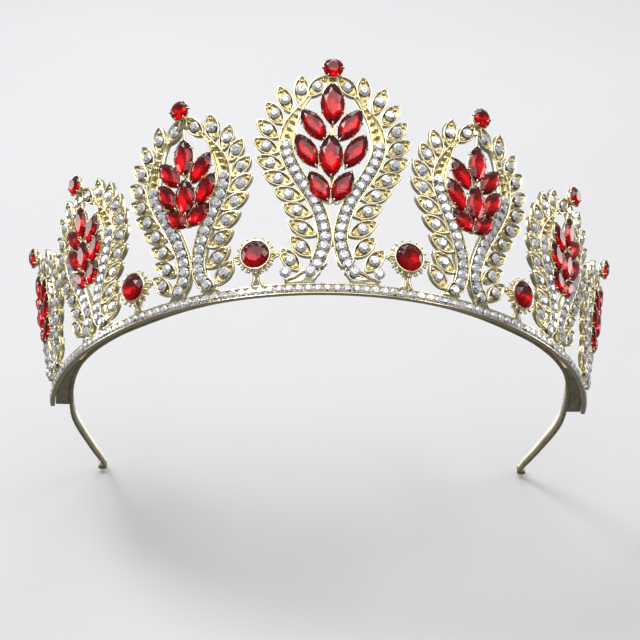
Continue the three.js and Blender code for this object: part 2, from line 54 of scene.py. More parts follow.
PLANS = {
    "center": dict(
        arm=[(5.6, 52.6), (7.0, 50.6), (8.6, 48.0), (10.2, 45.2), (11.2, 42.2), (11.55, 39.0), (11.0, 35.9),
             (9.8, 33.0), (8.3, 30.1), (6.6, 27.3), (5.0, 24.7), (3.75, 22.0), (2.85, 19.4), (2.35, 16.8),
             (2.15, 14.2), (2.3, 11.6), (2.9, 9.0), (4.0, 6.6), (5.6, 4.9)],
        leaves=[(3.7, 55.2, -40), (8.2, 54.5, -9), (12.2, 51.8, 20.6), (14.5, 47.9, 36), (16.2, 43.6, 46.5),
                (16.7, 39.0, 56), (15.9, 34.2, 61.6), (13.9, 29.8, 63.4), (11.2, 25.4, 66), (8.9, 21.2, 66),
                (7.7, 16.5, 59), (7.6, 11.6, 45.5), (10.1, 8.2, 38.8)],
        leaf=8.1, set_from=0.24, foot=11.8, top=59.3, stem=22.8,
        stones=[("top", 0, 49.7, 0, 12.2, 6.2), ("middle", 0, 35.3, 0, 12.2, 6.2), ("upper", 4.55, 44.0, 33, 10.7, 5.2),
                ("side", 6.15, 36.9, 29, 10.7, 5.2), ("lower", 3.1, 27.3, 30, 9.5, 5.0)]),
    "mid": dict(
        arm=[(5.0, 45.6), (6.6, 43.2), (8.2, 40.0), (9.4, 37.0), (10.0, 34.0), (9.85, 31.2), (9.0, 28.6),
             (7.8, 26.0), (6.5, 23.4), (5.1, 20.8), (3.85, 18.0), (2.9, 15.2), (2.35, 12.6), (2.2, 10.0),
             (2.3, 7.6), (2.8, 5.6), (3.6, 4.7)],
        leaves=[(2.7, 48.0, -40), (7.7, 46.8, -7), (11.0, 43.0, 25), (13.1, 38.9, 38), (14.3, 34.3, 50),
                (14.1, 29.7, 58), (12.5, 25.0, 63), (10.1, 20.4, 66), (7.9, 15.8, 66), (7.2, 10.9, 55), (8.4, 6.7, 42)],
        leaf=8.0, set_from=0.26, foot=9.0, top=52.3, stem=18.7,
        stones=[("top", 0, 39.4, 0, 10.6, 5.6), ("middle", 0, 28.4, 0, 10.4, 5.6), ("upper", 4.3, 35.6, 36, 9.7, 4.8),
                ("side", 5.2, 29.6, 33, 9.7, 4.8), ("lower", 3.1, 23.2, 49, 8.1, 4.6)]),
    "outer": dict(
        arm=[(4.9, 38.6), (6.4, 36.2), (7.9, 33.4), (9.0, 30.8), (9.5, 28.4), (9.3, 26.0), (8.6, 23.6),
             (7.6, 21.2), (6.3, 18.8), (4.95, 16.4), (3.75, 14.0), (2.85, 11.7), (2.35, 9.4), (2.25, 7.2),
             (2.6, 5.6), (3.4, 4.7)],
        leaves=[(2.6, 41.2, -40), (7.6, 40.5, -6), (10.5, 37.5, 25), (12.4, 33.5, 40), (13.3, 29.2, 52),
                (13.0, 24.8, 60), (11.8, 20.2, 65), (9.6, 15.7, 66), (7.6, 10.9, 57), (7.9, 6.6, 43)],
        leaf=7.7, set_from=0.26, foot=8.6, top=45.0, stem=15.4,
        stones=[("top", 0, 33.9, 0, 9.6, 5.2), ("middle", 0, 24.0, 0, 9.4, 5.2), ("upper", 4.0, 30.6, 36, 8.8, 4.5),
                ("side", 4.75, 25.0, 33, 8.8, 4.5), ("lower", 2.7, 18.6, 40, 7.3, 4.2)]),
    "end": dict(
        arm=[(4.3, 33.4), (5.6, 31.3), (6.9, 28.8), (7.8, 26.3), (8.2, 23.9), (8.0, 21.6), (7.3, 19.3),
             (6.3, 17.0), (5.1, 14.8), (4.0, 12.6), (3.1, 10.4), (2.45, 8.3), (2.3, 6.6), (2.6, 5.4), (3.3, 4.7)],
        leaves=[(2.4, 35.8, -39), (6.8, 35.1, -4), (9.3, 32.2, 28), (10.9, 28.3, 43), (11.4, 24.1, 55),
                (10.6, 19.8, 62), (9.0, 15.4, 66), (7.3, 11.0, 60), (7.4, 6.9, 45)],
        leaf=7.0, set_from=0.27, foot=7.8, top=39.4, stem=13.1,
        stones=[("top", 0, 29.5, 0, 8.6, 4.7), ("middle", 0, 20.8, 0, 8.4, 4.7), ("upper", 3.55, 26.5, 36, 7.8, 4.0),
                ("side", 4.1, 21.6, 32, 7.8, 4.0), ("lower", 2.4, 16.0, 40, 6.5, 3.8)]),
}
CRESTS = [("center", "center", 0.0), ("mid_left", "mid", -26.35), ("mid_right", "mid", 26.30),
          ("outer_left", "outer", -51.47), ("outer_right", "outer", 51.47),
          ("end_left", "end", -73.31), ("end_right", "end", 73.31)]
SUNS = [("inner_left", -13.82, 9.9), ("inner_right", 13.82, 9.9), ("outer_left", -38.86, 8.7), ("outer_right", 38.86, 8.7)]
ARM_HALF = 1.9
LEVEL = 1.15          # how far the sprays are let down into the frames
# the middle spray was soldered on a little askew
SPRAY_LEAN = {("top", 0): -0.1, ("middle", 0): -0.5, ("upper", 1): -0.3, ("upper", -1): -0.2, ("side", 1): -0.6,
              ("side", -1): -0.25, ("lower", 1): -0.75, ("lower", -1): -0.3}


# ------------------------------------------------------------------ placement
def flare(az, u, v, w):
    """Points of the flared surface: sideways, up and out of it, in mm. Gives (n, 3) metres."""
    u, v, w = np.broadcast_arrays(np.asarray(u, float), np.asarray(v, float), np.asarray(w, float))
    s = np.hypot(u, APEX + v)
    phi = az + np.arctan2(u, APEX + v) / math.sin(FLARE)
    h = s - APEX
    r = BAND_R + h * math.sin(FLARE) + w * math.cos(FLARE)
    z = FLARE_Z + h * math.cos(FLARE) - w * math.sin(FLARE)
    return np.stack([r * np.sin(phi), CENTRE_Y - r * np.cos(phi), z], -1) * MM


def seat(az, cu, cv, tilt=0.0):
    """A flat local frame on the flared surface. x runs along the tilt (0 straight up), y across, w out."""
    o = flare(az, cu, cv, 0.0)
    eu = flare(az, cu + 0.5, cv, 0.0) - flare(az, cu - 0.5, cv, 0.0)
    ev = flare(az, cu, cv + 0.5, 0.0) - flare(az, cu, cv - 0.5, 0.0)
    eu /= np.linalg.norm(eu)
    ev /= np.linalg.norm(ev)
    ew = np.cross(eu, ev)
    ew /= np.linalg.norm(ew)
    if np.dot(ew, flare(az, cu, cv, 1.0) - o) < 0:
        ew = -ew
    t = math.radians(tilt)
    ex = math.sin(t) * eu + math.cos(t) * ev
    ey = math.cos(t) * eu - math.sin(t) * ev

    def put(x, y, w):
        x, y, w = np.broadcast_arrays(np.asarray(x, float), np.asarray(y, float), np.asarray(w, float))
        return o + (x[..., None] * ex + y[..., None] * ey + w[..., None] * ew) * MM
    return put


def on_band(phi, r, z):
    phi, r, z = np.broadcast_arrays(np.asarray(phi, float), np.asarray(r, float), np.asarray(z, float))
    return np.stack([r * np.sin(phi), CENTRE_Y - r * np.cos(phi), z], -1) * MM


def spline(points, n):
    """Catmull-Rom through points, n samples even in arc length; returns positions and unit tangents."""
    p = np.asarray(points, float)
    q = np.vstack([2 * p[0] - p[1], p, 2 * p[-1] - p[-2]])
    out = []
    for i in range(1, len(q) - 2):
        t = np.linspace(0, 1, 24, endpoint=False)[:, None]
        a, b, c, d = q[i - 1], q[i], q[i + 1], q[i + 2]
        out.append(0.5 * ((2 * b) + (c - a) * t + (2 * a - 5 * b + 4 * c - d) * t ** 2 + (3 * b - a - 3 * c + d) * t ** 3))
    out = np.vstack(out + [p[-1:]])
    seg = np.r_[0, np.cumsum(np.linalg.norm(np.diff(out, axis=0), axis=1))]
    want = np.linspace(0, seg[-1], n)
    pos = np.stack([np.interp(want, seg, out[:, k]) for k in range(out.shape[1])], -1)
    tan = np.gradient(pos, axis=0)
    tan /= np.linalg.norm(tan, axis=1)[:, None]
    return pos, tan, seg[-1]


# --------------------------------------------------------------- mesh building
class Shape:
    def __init__(self):
        self.v, self.f, self.m, self.s, self.c, self.n = [], [], [], [], [], 0

    def add(self, verts, faces, mat=0, smooth=True, shade=None):
        verts = np.asarray(verts, float).reshape(-1, 3)
        self.v.append(verts)
        mats = mat if isinstance(mat, (list, tuple, np.ndarray)) else [mat] * len(faces)
        for f, m in zip(faces, mats):
            self.f.append([i + self.n for i in f])
            self.m.append(int(m))
            self.s.append(bool(smooth))
        # per-face painted tone: painted reflection and painted shade for the crystal stones, 0.5 where none is given
        self.c += [0.5] * len(faces) if shade is None else list(shade)
        self.n += len(verts)

    def loft(self, rings, mat=0, smooth=True, cap=(True, True), ring_mats=None, cap_mats=None, round_seam=True):
        """Rings of equal length joined by quads, with flat ends: one closed shell."""
        rings = np.asarray(rings, float)
        nr, npt = rings.shape[:2]
        faces, mats = [], []
        for i in range(nr - 1):
            m = mat if ring_mats is None else ring_mats[i]
            for j in range(npt):
                k = (j + 1) % npt
                faces.append([i * npt + j, i * npt + k, (i + 1) * npt + k, (i + 1) * npt + j])
                mats.append(m if not isinstance(m, (list, tuple)) else m[j])
        if cap[0]:
            faces.append(list(range(npt))[::-1])
            mats.append((cap_mats or (mat, mat))[0])
        if cap[1]:
            faces.append([(nr - 1) * npt + j for j in range(npt)])
            mats.append((cap_mats or (mat, mat))[1])
        self.add(rings.reshape(-1, 3), faces, mats, smooth)

    def torus(self, rings, mat=0, smooth=True):
        """Rings joined round to the first again."""
        rings = np.asarray(rings, float)
        nr, npt = rings.shape[:2]
        faces = []
        for i in range(nr):
            a, b = i * npt, ((i + 1) % nr) * npt
            for j in range(npt):
                k = (j + 1) % npt
                faces.append([a + j, a + k, b + k, b + j])
        self.add(rings.reshape(-1, 3), faces, mat, smooth)

    def ball(self, centre, radius, mat=0, squash=None):
        """A small bead; centre in metres, radius in mm; squash is a (3, 3) matrix."""
        co = BALL[0] * radius * MM
        if squash is not None:
            co = co @ np.asarray(squash).T
        self.add(co + np.asarray(centre), BALL[1], mat, True)

    def tube(self, path, radii, sides=8, mat=0):
        """A round wire along a path in metres, with domed ends."""
        p = np.asarray(path, float)
        r = np.broadcast_to(np.asarray(radii, float), (len(p),)) * MM
        tan = np.gradient(p, axis=0)
        tan /= np.linalg.norm(tan, axis=1)[:, None]
        ref = np.array([0.0, 0.0, 1.0])
        if abs(np.dot(ref, tan[0])) > 0.9:
            ref = np.array([1.0, 0.0, 0.0])
        nrm = np.cross(tan[0], ref)
        nrm /= np.linalg.norm(nrm)
        rings = []
        ang = np.linspace(0, 2 * math.pi, sides, endpoint=False)

        def ring(c, t, n, rad):
            b = np.cross(t, n)
            return c + (np.cos(ang)[:, None] * n + np.sin(ang)[:, None] * b) * rad
        rings.append(ring(p[0] - tan[0] * r[0] * 0.75, tan[0], nrm, r[0] * 0.45))
        for i in range(len(p)):
            nrm = nrm - tan[i] * np.dot(nrm, tan[i])
            nrm /= np.linalg.norm(nrm)
            rings.append(ring(p[i], tan[i], nrm, r[i]))
        rings.append(ring(p[-1] + tan[-1] * r[-1] * 0.75, tan[-1], nrm, r[-1] * 0.45))
        self.loft(rings, mat)

    def lathe(self, put, profile, segments=32, mats=None, lobes=0, lobe_depth=0.0):
        """Profile of (radius, w) from axis to axis, spun about a seat's w axis."""
        ang = np.linspace(0, 2 * math.pi, segments, endpoint=False)
        inner = profile[1:-1] if profile[0][0] == 0 else profile
        rings = []
        for r, w in inner:
            rr = r * (1 + lobe_depth * np.cos(ang * lobes)) if lobes and r > 0 else np.full(segments, r)
            rings.append(put(rr * np.cos(ang), rr * np.sin(ang), np.full(segments, w)))
        self.loft(rings, 0 if mats is None else mats[0], True, ring_mats=mats)


def make_ball():
    bm = bmesh.new()
    bmesh.ops.create_icosphere(bm, subdivisions=2, radius=1.0)
    co = np.array([v.co[:] for v in bm.verts])
    faces = [[v.index for v in f.verts] for f in bm.faces]
    bm.free()
    return co, faces


BALL = make_ball()
PIECES = []


def build(name, shape, materials, replaces=()):
    me = bpy.data.meshes.new(name)
    me.from_pydata(np.vstack(shape.v).tolist(), [], shape.f)
    me.polygons.foreach_set("material_index", np.array(shape.m, np.int32))
    me.polygons.foreach_set("use_smooth", np.array(shape.s, bool))
    # stores each face's painted light tone, read only by the crystal material
    me.attributes.new("painted_facet_light", "FLOAT", "FACE").data.foreach_set("value", np.array(shape.c, np.float32))
    for m in materials:
        me.materials.append(m)
    bm = bmesh.new()
    bm.from_mesh(me)
    bmesh.ops.recalc_face_normals(bm, faces=bm.faces)
    bm.to_mesh(me)
    bm.free()
    me.update()
    ob = bpy.data.objects.new(name, me)
    bpy.context.scene.collection.objects.link(ob)
    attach(ob, "root")
    if replaces:
        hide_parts(*replaces)
    PIECES.append(ob)
    return ob


# ------------------------------------------------------------------- materials
def new_material(name):
    m = bpy.data.materials.new(name)
    m.use_nodes = True
    nt = m.node_tree
    return m, nt, nt.nodes["Principled BSDF"]


def node(nt, kind, **values):
    n = nt.nodes.new(kind)
    for k, v in values.items():
        if k in n.inputs:
            n.inputs[k].default_value = v
        else:
            setattr(n, k, v)
    return n


def ramp(nt, source, stops):
    r = nt.nodes.new("ShaderNodeValToRGB")
    e = r.color_ramp.elements
    while len(e) < len(stops):
        e.new(0.5)
    for el, (p, c) in zip(e, stops):
        el.position = p
        el.color = c if len(c) == 4 else (*c, 1.0)
    nt.links.new(source, r.inputs["Fac"])
    return r.outputs["Color"]


def metal(name, light, mid, dark, rough=(0.14, 0.3), grain=1.0, streak=None, bump=0.25, coat=0.0):
    """Plated metal: cloudy tone and a fine cast grain that flecks its colour, roughness and surface, drawn out into
    hairline streaks where streak is given.
    """
    m, nt, b = new_material(name)
    L = nt.links.new
    tex = node(nt, "ShaderNodeTexCoord")
    cloud = node(nt, "ShaderNodeTexNoise", Scale=260.0, Detail=6.0, Roughness=0.6)
    L(tex.outputs["Object"], cloud.inputs["Vector"])
    fine = node(nt, "ShaderNodeTexNoise", Scale=2600.0 * grain, Detail=4.0, Roughness=0.6)
    if streak:
        mp = node(nt, "ShaderNodeMapping")
        mp.inputs["Scale"].default_value = streak
        L(tex.outputs["Object"], mp.inputs["Vector"])
        L(mp.outputs["Vector"], fine.inputs["Vector"])
    else:
        L(tex.outputs["Object"], fine.inputs["Vector"])
    colour = ramp(nt, cloud.outputs["Fac"], [(0.30, dark), (0.48, mid), (0.66, light)])
    mix = node(nt, "ShaderNodeMix", data_type="RGBA", blend_type="MULTIPLY")
    mix.inputs["Factor"].default_value = 0.35
    L(colour, mix.inputs[6])
    L(ramp(nt, fine.outputs["Fac"], [(0.35, (0.72, 0.68, 0.6)), (0.6, (1, 1, 1))]), mix.inputs[7])
    L(mix.outputs[2], b.inputs["Base Color"])
    rr = node(nt, "ShaderNodeMapRange")
    rr.inputs["From Min"].default_value = 0.35
    rr.inputs["From Max"].default_value = 0.7
    rr.inputs["To Min"].default_value = rough[0]
    rr.inputs["To Max"].default_value = rough[1]
    L(fine.outputs["Fac"], rr.inputs["Value"])
    L(rr.outputs["Result"], b.inputs["Roughness"])
    bm_ = node(nt, "ShaderNodeBump", Strength=bump, Distance=0.00003)
    L(fine.outputs["Fac"], bm_.inputs["Height"])
    L(bm_.outputs["Normal"], b.inputs["Normal"])
    b.inputs["Metallic"].default_value = 1.0
    if coat:
        b.inputs["Coat Weight"].default_value = coat
        b.inputs["Coat Roughness"].default_value = 0.08
    return m


def glass(name, tint, tint2, rough=(0.0, 0.03), ior=1.57):
    """Cut glass: clear body with faint streaks in its tint and a fine speckle of slight roughness."""
    m, nt, b = new_material(name)
    L = nt.links.new
    tex = node(nt, "ShaderNodeTexCoord")
    n1 = node(nt, "ShaderNodeTexNoise", Scale=420.0, Detail=3.0)
    L(tex.outputs["Object"], n1.inputs["Vector"])
    L(ramp(nt, n1.outputs["Fac"], [(0.35, tint2), (0.65, tint)]), b.inputs["Base Color"])
    n2 = node(nt, "ShaderNodeTexNoise", Scale=3200.0, Detail=2.0)
    L(tex.outputs["Object"], n2.inputs["Vector"])
    rr = node(nt, "ShaderNodeMapRange")
    rr.inputs["From Min"].default_value = 0.5
    rr.inputs["From Max"].default_value = 0.75
    rr.inputs["To Min"].default_value = rough[0]
    rr.inputs["To Max"].default_value = rough[1]
    L(n2.outputs["Fac"], rr.inputs["Value"])
    L(rr.outputs["Result"], b.inputs["Roughness"])
    b.inputs["Metallic"].default_value = 0.0
    b.inputs["Transmission Weight"].default_value = 1.0
    b.inputs["IOR"].default_value = ior
    return m


def facets(name, stops, rough, metallic, coat=1.0):
    """Foil-backed cut stone under a clear polished skin: its colour is painted reflection, from near black to white,
    set by each face's painted tone plus a little noise.
    """
    m, nt, b = new_material(name)
    L = nt.links.new
    # reads each face's painted light tone
    at = node(nt, "ShaderNodeAttribute", attribute_name="painted_facet_light")
    tex = node(nt, "ShaderNodeTexCoord")
    n1 = node(nt, "ShaderNodeTexNoise", Scale=900.0, Detail=3.0, Roughness=0.6)
    L(tex.outputs["Object"], n1.inputs["Vector"])
    ad = node(nt, "ShaderNodeMath", operation="MULTIPLY_ADD")
    ad.inputs[1].default_value = 0.30
    L(n1.outputs["Fac"], ad.inputs[0])
    sub = node(nt, "ShaderNodeMath", operation="SUBTRACT")
    sub.inputs[1].default_value = 0.15
    L(at.outputs["Fac"], sub.inputs[0])
    L(sub.outputs[0], ad.inputs[2])
    L(ramp(nt, ad.outputs[0], stops), b.inputs["Base Color"])
    n2 = node(nt, "ShaderNodeTexNoise", Scale=3200.0, Detail=2.0)
    L(tex.outputs["Object"], n2.inputs["Vector"])
    rr = node(nt, "ShaderNodeMapRange")
    rr.inputs["From Min"].default_value = 0.4
    rr.inputs["From Max"].default_value = 0.75
    rr.inputs["To Min"].default_value = rough[0]
    rr.inputs["To Max"].default_value = rough[1]
    L(n2.outputs["Fac"], rr.inputs["Value"])
    L(rr.outputs["Result"], b.inputs["Roughness"])
    b.inputs["Metallic"].default_value = metallic
    b.inputs["Coat Weight"].default_value = coat
    b.inputs["Coat Roughness"].default_value = 0.02
    b.inputs["Coat IOR"].default_value = 1.55
    return m


GOLD = metal("gold_plate_bright", (1.0, 0.95, 0.72), (0.98, 0.90, 0.63), (0.90, 0.80, 0.50), rough=(0.14, 0.28), bump=0.18)
# darker, more olive gold for leaf floors, channels and cups under the stones: partly an antique finish in the hollows,
# partly painted shade
RECESS = metal("gold_plate_recess_antique_and_shade", (0.93, 0.82, 0.44), (0.80, 0.66, 0.29), (0.52, 0.40, 0.14), rough=(0.22, 0.44), bump=0.5)
# painted shade and painted reflection: the headband's gold is darkened to olive to stand for the shadow and dark
# surroundings mirrored in it
STRAP = metal("headband_gold", (0.74, 0.68, 0.46), (0.62, 0.56, 0.36), (0.45, 0.40, 0.25), rough=(0.22, 0.42), streak=(1.0, 1.0, 9.0), bump=0.35)
SOLDER = metal("solder_joint", (0.93, 0.90, 0.78), (0.85, 0.80, 0.62), (0.62, 0.55, 0.36), rough=(0.18, 0.4), grain=0.5, bump=0.6)
# painted reflections: the crystal colour runs from near black to white with each face's painted tone, in place of the
# light its facets throw back
CRYSTAL_PAINTED_LIGHT = facets("crystal_painted_reflections", [(0.03, (0.04, 0.036, 0.06)), (0.17, (0.30, 0.29, 0.37)), (0.33, (0.93, 0.93, 0.97)), (0.50, (1.0, 1.0, 1.0))], (0.04, 0.14), 0.22)
SILVER_FOIL = metal("crystal_foil", (0.97, 0.97, 1.0), (0.92, 0.91, 0.97), (0.80, 0.78, 0.88), rough=(0.05, 0.16), bump=0.05)
RUBY = glass("ruby_crown", (0.86, 0.02, 0.045), (0.74, 0.010, 0.03), ior=1.58)
RED_FOIL = metal("ruby_foil", (0.95, 0.12, 0.15), (0.80, 0.05, 0.08), (0.50, 0.014, 0.035), rough=(0.20, 0.34), bump=0.08)


# ----------------------------------------------------------------------- gems
def round_outline(r):
    return lambda a: (r * np.cos(a), r * np.sin(a))


def vesica_outline(length, width, soft=0.0):
    a, b = length / 2, width / 2
    R = (a * a + b * b) / (2 * b)

    def f(t):
        x = a * np.cos(t)
        y = np.sqrt(np.maximum(R * R - x * x, 0)) - (R - b)
        return x, np.sign(np.sin(t)) * np.maximum(y, 0) * (np.abs(np.sin(t)) > 1e-6)
    return f


def gem(shape, put, outline, girdle_w, crown, depth, table=0.56, mid=0.80, mid_h=0.58, pav=0.55, band=0.08, crown_mat=0, foil_mat=1, lean=0.05):
    """A cut stone as one closed shell: table, star, kite and girdle facets, then the foiled pavilion. Each face carries
    a painted tone, bright or dark, that the crystal material shows as painted reflection.
    """
    lx, ly = rng.uniform(-lean, lean), rng.uniform(-lean, lean)

    def at(x, y, w):
        return put(x, y, np.asarray(w) + np.asarray(x) * lx + np.asarray(y) * ly)
    a16 = np.arange(16) * math.pi / 8
    a8, b8 = a16[::2], a16[1::2]
    rows = []
    x, y = outline(a8)
    rows.append(at(x * table, y * table, np.full(8, girdle_w + crown)))
    x, y = outline(b8)
    rows.append(at(x * mid, y * mid, np.full(8, girdle_w + crown * mid_h)))
    x, y = outline(a16)
    rows.append(at(x, y, np.full(16, girdle_w)))
    rows.append(at(x, y, np.full(16, girdle_w - band)))
    rows.append(at(x * pav, y * pav, np.full(16, girdle_w - band - depth * 0.55)))
    rows.append(at(0.0, 0.0, girdle_w - band - depth).reshape(1, 3))
    # the table is split into a star of flat faces only so that each can carry its own painted reflection
    x, y = outline(b8)
    rows.append(at(x * table * 0.42, y * table * 0.42, np.full(8, girdle_w + crown)))
    rows.append(at(0.0, 0.0, girdle_w + crown).reshape(1, 3))
    T, M, G, H, P, C, I, O = 0, 8, 16, 32, 48, 64, 65, 73
    # c holds painted light: bright and dark tones picked at random as painted reflections on the crown faces
    f, m, c = [], [], []
    pick_painted_tone = lambda lo, hi: rng.uniform(lo, hi)
    for k in range(8):
        k1, k_ = (k + 1) % 8, (k - 1) % 8
        f.append([O, I + k_, T + k, I + k]); c.append(pick_painted_tone(0.7, 1.0) if k % 2 else pick_painted_tone(0.1, 0.35))
        f.append([I + k, T + k, T + k1]); c.append(pick_painted_tone(0.35, 0.8))
        f.append([T + k, T + k1, M + k]); c.append(pick_painted_tone(0.0, 0.4))
        f.append([T + k, M + k_, G + 2 * k, M + k]); c.append(pick_painted_tone(0.68, 1.0) if rng.random() < 0.75 else pick_painted_tone(0.1, 0.4))
        f.append([M + k, G + 2 * k, G + 2 * k + 1]); c.append(pick_painted_tone(0.65, 1.0) if rng.random() < 0.6 else pick_painted_tone(0.05, 0.4))
        f.append([M + k, G + 2 * k + 1, G + (2 * k + 2) % 16]); c.append(pick_painted_tone(0.65, 1.0) if rng.random() < 0.45 else pick_painted_tone(0.05, 0.4))
        m += [crown_mat] * 6
    # painted shade: the girdle band gets a dark tone; the pavilion's mid tone is not shown by the foil
    for i in range(16):
        j = (i + 1) % 16
        f.append([G + i, G + j, H + j, H + i]); m.append(crown_mat); c.append(0.2)
        f.append([H + i, H + j, P + j, P + i]); m.append(foil_mat); c.append(0.6)
        f.append([P + i, P + j, C]); m.append(foil_mat); c.append(0.6)
    shape.add(np.vstack(rows), f, m, False, c)


def vesica_ring(length, width, inset, n):
    """A pointed-oval curve drawn in by inset mm, with n points."""
    a, b = length / 2, width / 2
    R = (a * a + b * b) / (2 * b)
    r, k = R - inset, R - b
    half = math.acos(min(1.0, k / r))
    t = np.linspace(-half, half, n // 2, endpoint=False)
    x = r * np.sin(t)
    y = r * np.cos(t) - k
    return np.r_[x, -x], np.r_[y, -y]


def leaf_cell(shape, put, length, width):
    """A pointed oval cell: raised rounded rim, dished floor, flat back."""
    n = 32
    prof = [(0.95, 0.30), (0.35, 0.26), (0.10, 0.32), (0.0, 0.5), (0.0, 1.62), (0.05, 1.80), (0.13, 1.88), (0.36, 1.88), (0.44, 1.80), (0.50, 1.46), (0.95, 1.38)]
    s = width / 4.1
    rings = []
    for d, w in prof:
        x, y = vesica_ring(length, width, d * s, n)
        rings.append(put(x, y, np.full(len(x), w)))
    mats = [0, 0, 0, 0, 0, 0, 0, 0, 0, 1]
    shape.loft(rings, ring_mats=mats, cap_mats=(0, 1))


def bar(shape, az, path, half, low, high):
    """A raised rim along a path of the flared surface."""
    tan = np.gradient(path, axis=0)
    tan /= np.linalg.norm(tan, axis=1)[:, None]
    nrm = np.stack([tan[:, 1], -tan[:, 0]], -1)
    prof = [(-half + 0.05, low), (-half, low + 0.1), (-half, high - 0.2), (-half + 0.04, high - 0.07), (-half + 0.1, high),
            (half - 0.1, high), (half - 0.04, high - 0.07), (half, high - 0.2), (half, low + 0.1), (half - 0.05, low)]
    x = np.array([a for a, _ in prof])
    w = np.array([b for _, b in prof])
    shape.loft([flare(az, p[0] + n[0] * x, p[1] + n[1] * x, w) for p, n in zip(path, nrm)], 0)


def arm_half(t, set_from):
    x = np.clip(t / set_from, 0, 1)
    return ARM_HALF * (0.30 + 0.70 * x * x * (3 - 2 * x))


def pad(shape, az, outline, low, high, round_=0.12, mat=0):
    """A flat plate on the flared surface with softened edges."""
    o = np.array(outline, float)
    # densify so that the plate follows the surface
    dense = []
    for i in range(len(o)):
        a, b = o[i], o[(i + 1) % len(o)]
        k = max(1, int(np.linalg.norm(b - a) / 0.8))
        dense += [a + (b - a) * j / k for j in range(k)]
    o = np.array(dense)
    c = o.mean(0)
    d = np.linalg.norm(o - c, axis=1)[:, None]
    shrink = lambda s: c + (o - c) * (1 - s / np.maximum(d, s * 2))
    rings = []
    for s, w in ((round_ * 1.4, low), (0.0, low + round_), (0.0, high - round_), (round_ * 0.5, high - round_ * 0.3), (round_ * 1.6, high)):
        q = shrink(s)
        rings.append(flare(az, q[:, 0], q[:, 1], np.full(len(q), w)))
    shape.loft(rings, mat)


